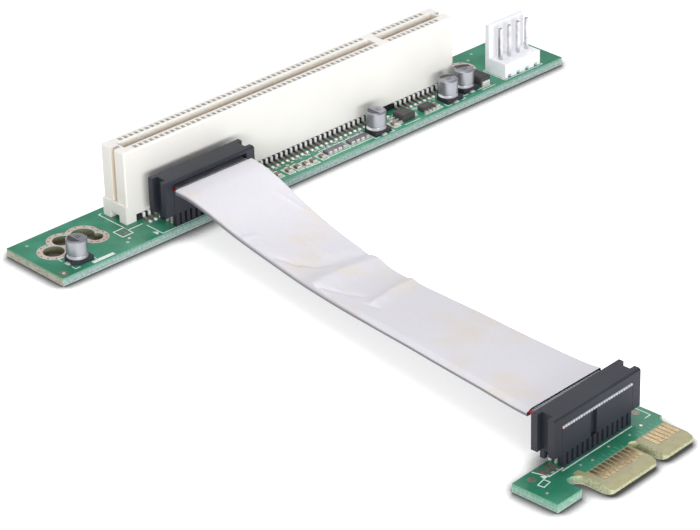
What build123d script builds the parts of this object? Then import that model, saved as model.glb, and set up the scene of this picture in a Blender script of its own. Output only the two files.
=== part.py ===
from build123d import *
import math
import os

# Flexible riser: a long board with a card slot, a short board with an edge plug,
# and a foil-wrapped ribbon cable between two ribbon connectors.
# Millimetres. X runs along the long board, Y to its back, Z up from the table.
# The origin is the middle of the long board's underside.

os.makedirs("parts", exist_ok=True)

# Boards
board_t = 1.6
main_w = 16.4
left_land = 21.3
right_land = 23.86

# Card slot, 120 contacts in two rows with the key at places 50 and 51
pin_pitch = 1.27
pin_count = 62
key_places = (50, 51)
slot_y = 2.6
end_wall = 3.685
housing_w = 6.64
housing_top = 14.5
housing_gap = 1.4
housing_edge = 0.2
card_gap = 1.8
card_depth = 8.0
card_lead = 1.75
lead_in = 0.4
lead_in_deep = 0.9
key_wall = 1.9
cavity_x = 0.8
cavity_y = 1.2
row_y = 2.16
end_groove_w = 1.2
end_groove_deep = 1.6
band_h = 3.6
band_out = 0.35
foot_x = 2.4
foot_y = 2.0
contact_w = 0.5
contact_t = 0.22
contact_top = 14.0
contact_drop = 0.1
contact_jog = 3.5
fillet_h = 0.4
contact_reach = 5.25
guide_half_w = 3.25
guide_h = 1.0
guide_gap = 0.3

# Ribbon connectors, two alike, one turned round
plug_len = 21.8
plug_deep = 4.8
plug_top = 9.5
plug_skirt = 2.5
wire_pitch = 0.635
wire_count = 28
wire_t = 0.6
wire_mid = 7.5
leg_fit = 0.06
groove_deep = 1.15
groove_w = 2.2
relief_deep = 1.2
relief_h = 1.0
cover_edge = 0.3
comb_pitch = 1.27
comb_count = 14
comb_w = 0.75
comb_deep = 0.9
key_x = 1.03
key_w = 1.5
key_deep = 0.7
post_w = 0.42
post_row = 1.27
plug_from_slot = 14.4
plug_y = -5.4

# Short board, drawn along its own edge: u along the plug, v into the board
tab_turn = 3.65
tab_shift = -18.4
tab_y = -124.23
tongue_a = 11.65
tongue_key = 1.9
tongue_b = 7.65
tongue_v = 6.6
tab_left = -9.0
tab_right = -3.1
tab_front = 3.64
tab_back = 13.0
tab_side = 22.4
shoulder_v = 7.6
shoulder_r = 1.0
notch_top = 7.3
notch_r = 1.0
notch_big_r = 2.0
key_end_gap = 0.02
tongue_corner = 0.5
bevel_v = 1.5
bevel_h = 0.5
corner_reach = 0.1
finger_pitch = 1.0
finger_w = 0.7
finger_first = 0.825
finger_v0 = 2.6
finger_v1 = 5.9
finger_t = 0.05
plug_u = 8.455
plug_v = 12.22

# Ribbon path between the two connectors: share of the way, height, roll in degrees
ribbon_path = (
    (0.00, 9.10, 0.0), (0.02, 9.30, 0.6), (0.05, 9.35, 1.4), (0.08, 9.05, 2.3), (0.11, 8.60, 3.3),
    (0.14, 8.00, 4.4), (0.17, 7.40, 5.5), (0.20, 6.90, 6.5), (0.23, 6.50, 7.5), (0.27, 6.05, 8.6),
    (0.32, 5.60, 9.6), (0.38, 5.20, 10.3), (0.44, 5.15, 10.3), (0.50, 5.35, 9.6), (0.56, 5.75, 8.7),
    (0.62, 6.15, 7.9), (0.68, 6.55, 7.1), (0.74, 6.85, 6.3), (0.80, 7.20, 5.5), (0.86, 7.60, 4.5),
    (0.91, 7.90, 3.4), (0.95, 8.25, 2.2), (0.98, 8.70, 1.0), (1.00, 9.10, 0.0),
)
foil_from = 0.02
foil_to = 0.98
foil_gap = 0.2
foil_t = 0.15

# Capacitors: can on a square base
cap_r = 2.0
cap_top = 4.5
cap_base = 4.2
cap_base_h = 0.9
cap_base_cut = 1.0
cap_waist_r = 1.75
cap_waist_h = 0.35
cap_edge = 0.25
cap_lead_w = 0.9
cap_lead_out = 0.4
cap_lead_t = 0.25

# Small parts on the long board
body_lift = 0.1
reg_size = (3.2, 3.0, 1.5)
reg_edge_cut = 0.2
reg_tab = (1.1, 1.8)
reg_lead = (0.9, 0.44)
reg_lead_pitch = 1.1
reg_lead_t = 0.4
ic_size = (2.9, 1.7, 1.1)
ic_edge_cut = 0.12
ic_lead = (0.4, 0.6)
ic_lead_pitch = 0.95
ic_lead_t = 0.35
diode_size = (2.7, 4.2, 2.1)
diode_edge_cut = 0.25
diode_term = (2.0, 0.3, 1.2)
array_size = (5.0, 2.0, 0.55)
array_pitch = 1.27
array_term_w = 0.8
chip_size = (0.85, 1.7, 0.5)
term_len = 0.3

# Power header, four pins in a line
header_front = -7.15
header_deep = 5.6
header_len = 10.1
header_h = 3.1
header_wall = 1.0
header_top = 10.25
header_pitch = 2.5
header_pin = 0.64
header_pin_y = -4.55
header_pin_top = 10.0
header_pin_point = 0.15
header_nick = (0.9, 0.8, 0.7)

# Lengths and places that follow from the sizes above
housing_len = pin_pitch * (pin_count - 1) + 2 * end_wall
main_len = left_land + housing_len + right_land
slot_start = left_land - main_len / 2
slot_end = slot_start + housing_len
pin1_x = slot_start + end_wall
pin_places = [n for n in range(1, pin_count + 1) if n not in key_places]
pin_xs = [pin1_x + pin_pitch * (n - 1) for n in pin_places]
slot_mid_x = pin1_x + pin_pitch * (pin_count - 1) / 2
header_x = slot_end + 13.4
header_pin_xs = [header_x + header_pitch * (k - 1.5) for k in range(4)]
ribbon_w = wire_pitch * wire_count
tab_len = tongue_a + tongue_key + tongue_b
plug_main = (slot_start + plug_from_slot, plug_y)
tab_origin = (plug_main[0] + tab_shift, tab_y)

# Mounting holes: x, y, hole radius; the last two on the left run into each other
screw_r = 2.0
slim_r = 1.85
wide_r = 2.2
lobe_r = 1.4
left_holes = ((slot_start - 16.1, 1.0, screw_r), (slot_start - 12.4, 3.2, slim_r),
              (slot_start - 8.2, 2.5, wide_r), (slot_start - 7.1, 0.0, lobe_r))
right_hole = (slot_end + 5.55, 2.7, screw_r)

# Places of the small parts: x, y, and for capacitors their turn
cap_spots = ((slot_end - 25.95, -5.4, 0), (slot_end - 5.95, -5.2, 0), (slot_end - 0.4, -4.2, 0),
             (slot_start - 14.9, -4.45, 90))
reg_spot = (slot_end - 18.25, -5.2)
ic_spot = (slot_end - 12.55, -5.5)
diode_spot = (slot_end + 3.35, -4.35)
array_spots = ((slot_end - 37.25, -5.6), (slot_end - 31.2, -5.6))
chip_spots = ((slot_start + 32.6, -5.7), (slot_start + 35.2, -5.9), (slot_start + 37.35, -6.0),
              (slot_start + 39.35, -6.2), (slot_start + 41.2, -6.3), (slot_start + 43.7, -6.1),
              (slot_end - 21.75, -5.9), (slot_end - 10.15, -5.9))


def box(x0, x1, y0, y1, z0, z1, mode=Mode.ADD):
    """Block between two corners, added to or cut from the open part."""
    with Locations(((x0 + x1) / 2, (y0 + y1) / 2, (z0 + z1) / 2)):
        Box(x1 - x0, y1 - y0, z1 - z0, mode=mode)


def save(part, name):
    part.part.label = name
    export_step(part.part, "parts/" + name + ".step")


# Long board
with BuildPart() as main_board:
    with BuildSketch():
        Rectangle(main_len, main_w)
        for x, y, r in left_holes + (right_hole,):
            with Locations((x, y)):
                Circle(r, mode=Mode.SUBTRACT)
        with Locations(*[(x, header_pin_y) for x in header_pin_xs]):
            Rectangle(header_pin, header_pin, mode=Mode.SUBTRACT)
    extrude(amount=board_t)
save(main_board, "main_board")

# Card slot housing: one ivory moulding with a cavity for every contact
base_z = board_t + housing_gap
top_z = board_t + housing_top
half_len = housing_len / 2
key_x_mid = pin1_x + pin_pitch * (sum(key_places) / 2 - 1)
slot_x0 = pin1_x - card_lead
slot_x1 = pin1_x + pin_pitch * (pin_count - 1) + card_lead
with BuildPart() as slot_housing:
    x0, x1 = slot_mid_x - half_len, slot_mid_x + half_len
    y0, y1 = slot_y - housing_w / 2, slot_y + housing_w / 2
    box(x0, x1, y0, y1, base_z, top_z)
    upright = slot_housing.edges().filter_by(Axis.Z)
    chamfer(upright + slot_housing.faces().sort_by(Axis.Z)[-1].edges(), housing_edge)
    box(x0 - band_out, x1 + band_out, y0, y1, base_z, board_t + band_h)
    for x in (x0 - band_out, x1 + band_out - foot_x):
        box(x, x + foot_x, y0, y0 + foot_y, board_t, base_z)
        box(x, x + foot_x, y1 - foot_y, y1, board_t, base_z)
    groove_y = (slot_y - end_groove_w / 2, slot_y + end_groove_w / 2)
    box(x0, x0 + end_groove_deep, *groove_y, board_t + band_h, top_z, Mode.SUBTRACT)
    box(x1 - end_groove_deep, x1, *groove_y, board_t + band_h, top_z, Mode.SUBTRACT)
    with BuildSketch(Plane.YZ) as card_mouth:
        with BuildLine():
            half = card_gap / 2
            Polyline((slot_y - half, top_z - card_depth), (slot_y + half, top_z - card_depth),
                     (slot_y + half, top_z - lead_in_deep), (slot_y + half + lead_in, top_z),
                     (slot_y - half - lead_in, top_z), (slot_y - half, top_z - lead_in_deep), close=True)
        make_face()
    for a, b in ((slot_x0, key_x_mid - key_wall / 2), (key_x_mid + key_wall / 2, slot_x1)):
        mouth = card_mouth.sketch.moved(Location((a, 0, 0)))
        extrude(mouth, amount=b - a, dir=(1, 0, 0), mode=Mode.SUBTRACT)
    with BuildSketch(Plane.XY.offset(base_z)):
        with Locations(*[(x, slot_y + s * row_y) for x in pin_xs for s in (-1, 1)]):
            Rectangle(cavity_x, cavity_y)
    extrude(amount=top_z - base_z, mode=Mode.SUBTRACT)
save(slot_housing, "slot_housing")


def slot_contact(side):
    """One bent contact at x = 0: blade in its cavity, out under the housing, and down to its soldered foot."""
    half = contact_t / 2
    jog = base_z - contact_drop
    outer = [(row_y + half, board_t + contact_top), (row_y + half, jog), (contact_jog + half, jog),
             (contact_jog + half, board_t + fillet_h), (contact_reach, board_t)]
    inner = [(contact_jog - half, board_t), (contact_jog - half, jog - contact_t),
             (row_y - half, jog - contact_t), (row_y - half, board_t + contact_top)]
    with BuildPart() as piece:
        with BuildSketch(Plane.YZ):
            with BuildLine():
                Polyline(*[(slot_y + side * y, z) for y, z in outer + inner], close=True)
            make_face()
        extrude(amount=contact_w / 2, both=True)
    return piece.part


# Slot contacts, one row on each side
for side, name in ((-1, "slot_contacts_front"), (1, "slot_contacts_back")):
    one = slot_contact(side)
    with BuildPart() as row:
        with Locations(*[(x, 0, 0) for x in pin_xs]):
            add(one)
    save(row, name)

# Black guide strip under the housing, between the two rows of feet
guide_half_len = half_len + band_out - foot_x - guide_gap
with BuildPart() as lead_guide:
    box(slot_mid_x - guide_half_len, slot_mid_x + guide_half_len, slot_y - guide_half_w, slot_y + guide_half_w,
        board_t, board_t + guide_h)
save(lead_guide, "lead_guide")


def plug_places():
    """Where the two ribbon connectors stand: on the long board, and turned round on the short one."""
    turn = math.radians(tab_turn)
    sx = tab_origin[0] + plug_u * math.cos(turn) - plug_v * math.sin(turn)
    sy = tab_origin[1] + plug_u * math.sin(turn) + plug_v * math.cos(turn)
    return (Location((plug_main[0], plug_main[1], board_t)),
            Location((sx, sy, board_t), (0, 0, 180 + tab_turn)))


def placed_pair(one, name):
    with BuildPart() as pair:
        with Locations(*plug_places()):
            add(one)
    save(pair, name)


# Connector cover: a bar over the wires with a leg down each end
half_l = plug_len / 2
half_d = plug_deep / 2
half_r = ribbon_w / 2 + leg_fit
wire_z0 = wire_mid - wire_t / 2
wire_z1 = wire_mid + wire_t / 2
with BuildPart() as cover:
    box(-half_l, half_l, -half_d, half_d, plug_skirt, plug_top)
    chamfer(cover.edges().filter_by(Axis.X).group_by(Axis.Z)[-1], cover_edge)
    box(-half_r, half_r, -half_d, half_d, plug_skirt, wire_z1, Mode.SUBTRACT)
    box(-half_r, half_r, -half_d, -half_d + relief_deep, wire_z1, wire_z1 + relief_h, Mode.SUBTRACT)
    for s in (-1, 1):
        ends = sorted((s * half_l, s * (half_l - groove_deep)))
        box(*ends, -groove_w / 2, groove_w / 2, plug_skirt, plug_top, Mode.SUBTRACT)
placed_pair(cover.part, "plug_covers")

# Connector body: block under the wires standing on two combs of ribs
comb_x = comb_pitch * (comb_count - 1) / 2
with BuildPart() as body:
    box(-ribbon_w / 2, ribbon_w / 2, -half_d, half_d, plug_skirt, wire_z0)
    box(key_x - key_w / 2, key_x + key_w / 2, half_d - key_deep, half_d, plug_skirt, wire_z0, Mode.SUBTRACT)
    with BuildSketch():
        for s in (-1, 1):
            with Locations(*[(comb_pitch * k - comb_x, s * (half_d - comb_deep / 2)) for k in range(comb_count)]):
                Rectangle(comb_w, comb_deep)
    extrude(amount=plug_skirt)
placed_pair(body.part, "plug_bodies")

# Connector posts between the combs
with BuildPart() as posts:
    with BuildSketch():
        with GridLocations(comb_pitch, post_row, comb_count, 2):
            Rectangle(post_w, post_w)
    extrude(amount=plug_skirt)
placed_pair(posts.part, "plug_posts")


def strip(x0, x1, half_t, share_from=0.0, share_to=1.0, mode=Mode.ADD):
    """Ruled strip along the ribbon's way, between two distances from its middle line."""
    main, tab = plug_places()
    start = main.position + Vector(0, -half_d, 0)
    end = (tab * Location((0, -half_d, 0))).position
    cuts = []
    for share, height, roll in ribbon_path:
        if not share_from <= share <= share_to:
            continue
        spot = start + (end - start) * share
        frame = Plane(Location((spot.X, spot.Y, height), (0, roll, tab_turn * share)))
        with BuildSketch(Plane(frame.origin, x_dir=frame.x_dir, z_dir=-frame.y_dir)) as cut:
            with Locations(((x0 + x1) / 2, 0)):
                Rectangle(x1 - x0, 2 * half_t)
        cuts.append(cut.sketch)
    loft(cuts, ruled=True, mode=mode)


def strip_ends(x0, x1):
    """Straight ends of the strip, held in the slots of both connectors."""
    main, tab = plug_places()
    for place, a, b in ((main, x0, x1), (tab, -x1, -x0)):
        with Locations(place):
            with Locations(((a + b) / 2, 0, wire_mid)):
                Box(b - a, plug_deep, wire_t)


# Grey ribbon and its red edge wire, running through both connectors
half_w = ribbon_w / 2
with BuildPart() as ribbon:
    strip(-half_w + wire_pitch, half_w, wire_t / 2)
    strip_ends(-half_w + wire_pitch, half_w)
save(ribbon, "ribbon")

with BuildPart() as edge_wire:
    strip(-half_w, -half_w + wire_pitch, wire_t / 2)
    strip_ends(-half_w, -half_w + wire_pitch)
save(edge_wire, "edge_wire")

# Foil wrap, a sleeve round the ribbon between the connectors
inner_t = wire_t / 2 + foil_gap
with BuildPart() as foil_wrap:
    strip(-half_w - foil_gap - foil_t, half_w + foil_gap + foil_t, inner_t + foil_t, foil_from, foil_to)
    strip(-half_w - foil_gap, half_w + foil_gap, inner_t, foil_from, foil_to, Mode.SUBTRACT)
save(foil_wrap, "foil_wrap")

# Capacitors
def placed_caps(one, name):
    with BuildPart() as group:
        for x, y, turn in cap_spots:
            with Locations(Location((x, y, board_t), (0, 0, turn))):
                add(one)
    save(group, name)


with BuildPart() as cap_foot:
    with BuildSketch():
        Rectangle(cap_base, cap_base)
    extrude(amount=cap_base_h)
    chamfer(cap_foot.edges().filter_by(Axis.Z).group_by(Axis.Y)[-1], cap_base_cut)
placed_caps(cap_foot.part, "cap_bases")

with BuildPart() as can:
    with BuildSketch(Plane.XZ):
        with BuildLine():
            Polyline((0, cap_base_h), (cap_r, cap_base_h), (cap_waist_r, cap_base_h + cap_waist_h),
                     (cap_r, cap_base_h + 2 * cap_waist_h), (cap_r, cap_top - cap_edge),
                     (cap_r - cap_edge, cap_top), (0, cap_top), close=True)
        make_face()
    revolve(axis=Axis.Z)
placed_caps(can.part, "cap_cans")

with BuildPart() as cap_lead_pair:
    for s in (-1, 1):
        y0, y1 = sorted((s * cap_base / 2, s * (cap_base / 2 + cap_lead_out)))
        box(-cap_lead_w / 2, cap_lead_w / 2, y0, y1, 0, cap_lead_t)
placed_caps(cap_lead_pair.part, "cap_leads")


def block(spot, size, lift=0.0):
    """Block on the board, by its middle and its size."""
    x, y = spot
    w, d, h = size
    box(x - w / 2, x + w / 2, y - d / 2, y + d / 2, board_t + lift, board_t + h)


# Regulator with a tab on one side and three leads on the other
with BuildPart() as reg_body:
    block(reg_spot, reg_size, body_lift)
    chamfer(reg_body.faces().sort_by(Axis.Z)[-1].edges(), reg_edge_cut)
save(reg_body, "regulator_body")

with BuildPart() as reg_leads:
    x, y = reg_spot
    block((x + (reg_size[0] + reg_tab[0]) / 2, y), (*reg_tab, reg_lead_t))
    for k in (-1, 0, 1):
        block((x - (reg_size[0] + reg_lead[0]) / 2, y + k * reg_lead_pitch), (*reg_lead, reg_lead_t))
save(reg_leads, "regulator_leads")

# Six-lead driver
with BuildPart() as ic_body:
    block(ic_spot, ic_size, body_lift)
    chamfer(ic_body.faces().sort_by(Axis.Z)[-1].edges(), ic_edge_cut)
save(ic_body, "driver_body")

with BuildPart() as ic_leads:
    x, y = ic_spot
    for k in (-1, 0, 1):
        for s in (-1, 1):
            block((x + k * ic_lead_pitch, y + s * (ic_size[1] + ic_lead[1]) / 2), (*ic_lead, ic_lead_t))
save(ic_leads, "driver_leads")

# Diode with a folded terminal at each end
with BuildPart() as diode_body:
    block(diode_spot, diode_size, body_lift)
    chamfer(diode_body.faces().sort_by(Axis.Z)[-1].edges(), diode_edge_cut)
save(diode_body, "diode_body")

with BuildPart() as diode_terms:
    x, y = diode_spot
    for s in (-1, 1):
        block((x, y + s * (diode_size[1] + diode_term[1]) / 2), diode_term)
save(diode_terms, "diode_terminals")

# Resistor arrays, four resistors in one body, ends tinned
with BuildPart() as array_bodies:
    for spot in array_spots:
        block(spot, (array_size[0], array_size[1] - 2 * term_len, array_size[2]))
save(array_bodies, "array_bodies")

with BuildPart() as array_terms:
    for x, y in array_spots:
        for k in range(4):
            for s in (-1, 1):
                block((x + array_pitch * (k - 1.5), y + s * (array_size[1] - term_len) / 2),
                      (array_term_w, term_len, array_size[2]))
save(array_terms, "array_terminals")

# Chip parts lying across the board
with BuildPart() as chip_bodies:
    for spot in chip_spots:
        block(spot, (chip_size[0], chip_size[1] - 2 * term_len, chip_size[2]))
save(chip_bodies, "chip_bodies")

with BuildPart() as chip_terms:
    for x, y in chip_spots:
        for s in (-1, 1):
            block((x, y + s * (chip_size[1] - term_len) / 2), (chip_size[0], term_len, chip_size[2]))
save(chip_terms, "chip_terminals")

# Power header: base with a back wall, nicked at the foot of each pin
header_x0 = header_x - header_len / 2
header_x1 = header_x + header_len / 2
header_back = header_front + header_deep
with BuildPart() as header_housing:
    box(header_x0, header_x1, header_front, header_back, board_t, board_t + header_h)
    box(header_x0, header_x1, header_back - header_wall, header_back, board_t, board_t + header_top)
    for x in header_pin_xs:
        w, d, h = header_nick
        box(x - w / 2, x + w / 2, header_front, header_front + d, board_t, board_t + h, Mode.SUBTRACT)
    with BuildSketch(Plane.XY.offset(board_t)):
        with Locations(*[(x, header_pin_y) for x in header_pin_xs]):
            Rectangle(header_pin, header_pin)
    extrude(amount=header_h, mode=Mode.SUBTRACT)
save(header_housing, "header_housing")

with BuildPart() as header_pins:
    with BuildSketch():
        with Locations(*[(x, header_pin_y) for x in header_pin_xs]):
            Rectangle(header_pin, header_pin)
    extrude(amount=board_t + header_pin_top)
    chamfer(header_pins.faces().group_by(Axis.Z)[-1].edges(), header_pin_point)
save(header_pins, "header_pins")

# Short board with the edge plug, fingers and pockets for the fingers underneath
finger_us = [finger_first + finger_pitch * k for k in range(11)]
finger_us += [tongue_a + tongue_key + finger_first + finger_pitch * k for k in range(7)]
top_finger_us = [u for k, u in enumerate(finger_us) if k not in (0, 11)]
finger_mid_v = (finger_v0 + finger_v1) / 2
tab_place = Location((tab_origin[0], tab_origin[1], 0), (0, 0, tab_turn))


def fingers(us, z0):
    with BuildPart() as piece:
        with BuildSketch(Plane.XY.offset(z0)):
            with Locations(*[(u, finger_mid_v) for u in us]):
                Rectangle(finger_w, finger_v1 - finger_v0)
        extrude(amount=finger_t)
    return piece.part


def corners(outline, u, v):
    """The outline's corner at a place, as a list for fillet or chamfer."""
    return outline.vertices().filter_by(lambda p: abs(p.X - u) < corner_reach and abs(p.Y - v) < corner_reach)


def tab_shape():
    """The short board: retention tab, rounded notches, two tongues with cut corners and a bevelled front."""
    key_right = tongue_a + tongue_key
    with BuildPart() as piece:
        with BuildSketch() as outline:
            with BuildLine():
                Polyline((0, 0), (tongue_a, 0), (tongue_a, tongue_v), (key_right, tongue_v), (key_right, 0),
                         (tab_len, 0), (tab_len, shoulder_v), (tab_side, shoulder_v), (tab_side, tab_back),
                         (tab_left, tab_back), (tab_left, tab_front), (tab_right, tab_front),
                         (tab_right, notch_top), (0, notch_top), close=True)
            make_face()
            fillet(corners(outline, tab_right, notch_top), notch_r)
            fillet(corners(outline, 0, notch_top), notch_big_r)
            fillet(corners(outline, tab_len, shoulder_v), shoulder_r)
            fillet(corners(outline, tongue_a, tongue_v), tongue_key / 2 - key_end_gap)
            fillet(corners(outline, key_right, tongue_v), tongue_key / 2 - key_end_gap)
            for u in (0, tongue_a, key_right, tab_len):
                chamfer(corners(outline, u, 0), tongue_corner)
        extrude(amount=board_t)
        with BuildSketch(Plane.YZ) as bevels:
            for face, way in ((0, 1), (board_t, -1)):
                with BuildLine():
                    Polyline((0, face), (0, face + way * bevel_h), (bevel_v, face), close=True)
                make_face()
        extrude(bevels.sketch, amount=tab_len, mode=Mode.SUBTRACT)
        add(fingers(finger_us, 0), mode=Mode.SUBTRACT)
    return piece.part


for name, one in (("plug_board", tab_shape()), ("edge_fingers_top", fingers(top_finger_us, board_t)),
                  ("edge_fingers_under", fingers(finger_us, 0))):
    with BuildPart() as laid:
        with Locations(tab_place):
            add(one)
    save(laid, name)
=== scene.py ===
import math
import random

import bpy
from mathutils import Euler, Matrix, Vector
from mathutils.geometry import tessellate_polygon

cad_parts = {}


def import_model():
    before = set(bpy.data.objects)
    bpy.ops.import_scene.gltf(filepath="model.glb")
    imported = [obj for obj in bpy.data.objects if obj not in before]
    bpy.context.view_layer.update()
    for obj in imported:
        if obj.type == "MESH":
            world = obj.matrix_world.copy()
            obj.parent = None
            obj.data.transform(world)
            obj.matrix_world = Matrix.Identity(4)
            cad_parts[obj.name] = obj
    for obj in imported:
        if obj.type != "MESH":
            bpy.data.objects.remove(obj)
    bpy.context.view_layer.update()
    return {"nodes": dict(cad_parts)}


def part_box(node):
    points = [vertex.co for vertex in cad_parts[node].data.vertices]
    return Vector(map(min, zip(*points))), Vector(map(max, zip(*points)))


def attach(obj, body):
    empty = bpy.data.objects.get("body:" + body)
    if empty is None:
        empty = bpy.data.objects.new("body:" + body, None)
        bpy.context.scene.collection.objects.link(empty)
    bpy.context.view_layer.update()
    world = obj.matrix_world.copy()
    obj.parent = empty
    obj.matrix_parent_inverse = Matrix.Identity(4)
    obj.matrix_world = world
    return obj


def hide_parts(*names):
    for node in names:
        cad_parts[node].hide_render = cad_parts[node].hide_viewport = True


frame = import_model()
mm = 0.001


# The table it stands on, the lamps and the camera. The table is plain white
# and keeps the soft shadow, with painted contact shade darkening it where something
# stands on it; the camera stands at the left front, a little over
# half a metre away, with a long lens.
camera_place = (-0.34327, -0.38609, 0.25714)
camera_turn = (61.383, 1.429, -43.412)
camera_lens = 153.45
table_half = 3.0
table_z = -0.0001
table_tone = 0.84
table_glow = 0.60
# How far the painted contact shade on the table reaches, how steeply it falls and how dark it gets.
painted_shade_reach = 4.3 * mm
painted_shade_power = 4.4
painted_shade_darkest = 0.08
room_tint = (0.97, 0.98, 1, 1)
room_light = 0.42
# Each lamp: its name, its place, the point it aims at, its size and its power.
lamps = (
    ("front_lamp", (-0.42, -0.82, 0.16), (0, -0.03, 0.01), (0.8, 0.22), 7.0),
    ("top_lamp", (-0.05, 0.05, 0.8), (0, -0.03, 0), (0.5, 0.5), 3.4),
    ("back_lamp", (0.50, 0.25, 0.64), (0, -0.03, 0), (0.22, 0.22), 1.1),
)


def empty_tree(owner):
    """The cleared node tree of a material or a world."""
    owner.use_nodes = True
    owner.node_tree.nodes.clear()
    return owner.node_tree


def feed(tree, target, values):
    """Fills a node's inputs, each from another node's socket or from a plain value."""
    for label, value in values.items():
        if isinstance(value, bpy.types.NodeSocket):
            tree.links.new(value, target.inputs[label])
        else:
            target.inputs[label].default_value = value


def node(tree, kind, values=None, **settings):
    """A shader node with its settings and what feeds its inputs."""
    made = tree.nodes.new(kind)
    for key, value in settings.items():
        setattr(made, key, value)
    feed(tree, made, values or {})
    return made


def calc(tree, operation, *values, **settings):
    """A sum, a product, a power or a comparison."""
    return node(tree, "ShaderNodeMath", dict(enumerate(values)), operation=operation, **settings).outputs[0]


def mesh_piece(name, verts, faces, material, smooth=False):
    """A mesh object from points in the row frame."""
    mesh = bpy.data.meshes.new(name)
    mesh.from_pydata([tuple(v) for v in verts], [], faces)
    mesh.validate()
    mesh.materials.append(material)
    if smooth:
        mesh.polygons.foreach_set("use_smooth", [True] * len(mesh.polygons))
    mesh.update()
    piece = bpy.data.objects.new(name, mesh)
    bpy.context.scene.collection.objects.link(piece)
    return piece


def lay_table():
    """A white table that glows a little, with painted shade darkening its colour and glow where something
    stands on it.
    """
    material = bpy.data.materials.new("white_table")
    tree = empty_tree(material)
    rays = node(tree, "ShaderNodeLightPath").outputs
    # Painted contact shade: ambient occlusion darkens the table's colour and glow near anything standing on
    # it.
    contact_occlusion = node(tree, "ShaderNodeAmbientOcclusion", {"Distance": painted_shade_reach}, samples=8)
    painted_shade_factor = calc(tree, "MAXIMUM", calc(tree, "POWER", contact_occlusion.outputs["AO"], painted_shade_power), painted_shade_darkest)
    seen = calc(tree, "ADD", rays["Is Camera Ray"], rays["Is Glossy Ray"], use_clamp=True)
    strength = calc(tree, "MULTIPLY", calc(tree, "MULTIPLY", seen, table_glow), painted_shade_factor)
    lit = node(tree, "ShaderNodeBsdfDiffuse", {"Color": calc(tree, "MULTIPLY", painted_shade_factor, table_tone)})
    glow = node(tree, "ShaderNodeEmission", {"Color": (1, 1, 1, 1), "Strength": strength})
    both = node(tree, "ShaderNodeAddShader", {0: lit.outputs[0], 1: glow.outputs[0]})
    node(tree, "ShaderNodeOutputMaterial", {"Surface": both.outputs[0]})
    ends = (-table_half, table_half)
    corners = [(ends[x], ends[y], table_z) for x, y in ((0, 0), (1, 0), (1, 1), (0, 1))]
    mesh_piece("table", corners, [(0, 1, 2, 3)], material)


def hang_lamp(name, place, aim, size, power):
    """A rectangular lamp that aims at a point."""
    lamp = bpy.data.lights.new(name, "AREA")
    lamp.shape = "RECTANGLE"
    lamp.size, lamp.size_y = size
    lamp.energy = power
    holder = bpy.data.objects.new(name, lamp)
    holder.location = place
    holder.rotation_euler = (Vector(aim) - Vector(place)).to_track_quat("-Z", "Y").to_euler()
    bpy.context.scene.collection.objects.link(holder)


def set_camera():
    """The camera at the photograph's angle."""
    lens = bpy.data.cameras.new("camera")
    lens.lens = camera_lens
    lens.sensor_fit = "HORIZONTAL"
    lens.sensor_width = 36
    lens.clip_start = 0.01
    lens.clip_end = 20
    holder = bpy.data.objects.new("camera", lens)
    holder.location = camera_place
    holder.rotation_euler = Euler([math.radians(a) for a in camera_turn], "XYZ")
    bpy.context.scene.collection.objects.link(holder)
    bpy.context.scene.camera = holder


def light_the_room():
    """A soft white room, pure white where the camera sees it, and the lamps."""
    world = bpy.data.worlds.new("white_room")
    tree = empty_tree(world)
    room = node(tree, "ShaderNodeBackground", {"Color": room_tint, "Strength": room_light})
    seen = node(tree, "ShaderNodeBackground", {"Color": (1, 1, 1, 1), "Strength": 1.0})
    rays = node(tree, "ShaderNodeLightPath")
    mix = node(tree, "ShaderNodeMixShader",
               {0: rays.outputs["Is Camera Ray"], 1: room.outputs[0], 2: seen.outputs[0]})
    node(tree, "ShaderNodeOutputWorld", {"Surface": mix.outputs[0]})
    bpy.context.scene.world = world
    for lamp in lamps:
        hang_lamp(*lamp)


light_the_room()
lay_table()
set_camera()
bpy.context.scene.view_settings.view_transform = "Standard"


# The cable. A flat grey ribbon of 28 wires with a red wire at its left edge is
# clamped in a connector at each end, and between them it is wrapped in a soft
# aluminium shielding foil that creases where it bends; its underside is painted dark grey as shade.
board_top = 1.6 * mm
left_land = 21.3 * mm
right_land = 23.86 * mm
wire_pitch = 0.635 * mm
wire_count = 28
wire_r = 0.3 * mm
wire_mid = 7.5 * mm
plug_deep = 4.8 * mm
plug_from_slot = 14.4 * mm
plug_y = -5.4 * mm
# The short board: its place and turn, and its connector's place on it.
tab_from_plug = 18.4 * mm
tab_y = -124.23 * mm
tab_turn = math.radians(3.65)
tab_u = 8.455 * mm
tab_v = 12.22 * mm
# The ribbon's way: share of it, height in mm and roll in degrees.
ribbon_path = (
    (0.00, 9.10, 0.0), (0.02, 9.30, 0.6), (0.05, 9.35, 1.4), (0.08, 9.05, 2.3), (0.11, 8.60, 3.3),
    (0.14, 8.00, 4.4), (0.17, 7.40, 5.5), (0.20, 6.90, 6.5), (0.23, 6.50, 7.5), (0.27, 6.05, 8.6),
    (0.32, 5.60, 9.6), (0.38, 5.20, 10.3), (0.44, 5.15, 10.3), (0.50, 5.35, 9.6), (0.56, 5.75, 8.7),
    (0.62, 6.15, 7.9), (0.68, 6.55, 7.1), (0.74, 6.85, 6.3), (0.80, 7.20, 5.5), (0.86, 7.60, 4.5),
    (0.91, 7.90, 3.4), (0.95, 8.25, 2.2), (0.98, 8.70, 1.0), (1.00, 9.10, 0.0),
)
foil_from = 0.012
foil_to = 0.975
foil_half_w = 9.2 * mm
foil_half_t = 0.55 * mm
foil_turn_in = 0.36 * mm
foil_colour = (0.735, 0.718, 0.755)
foil_warm = (0.735, 0.685, 0.645)
foil_fleck = (0.93, 0.93, 0.95)
# Painted shade for the foil's underside and the lower part of its rounded sides.
underside_painted_shade = (0.20, 0.20, 0.22)

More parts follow.
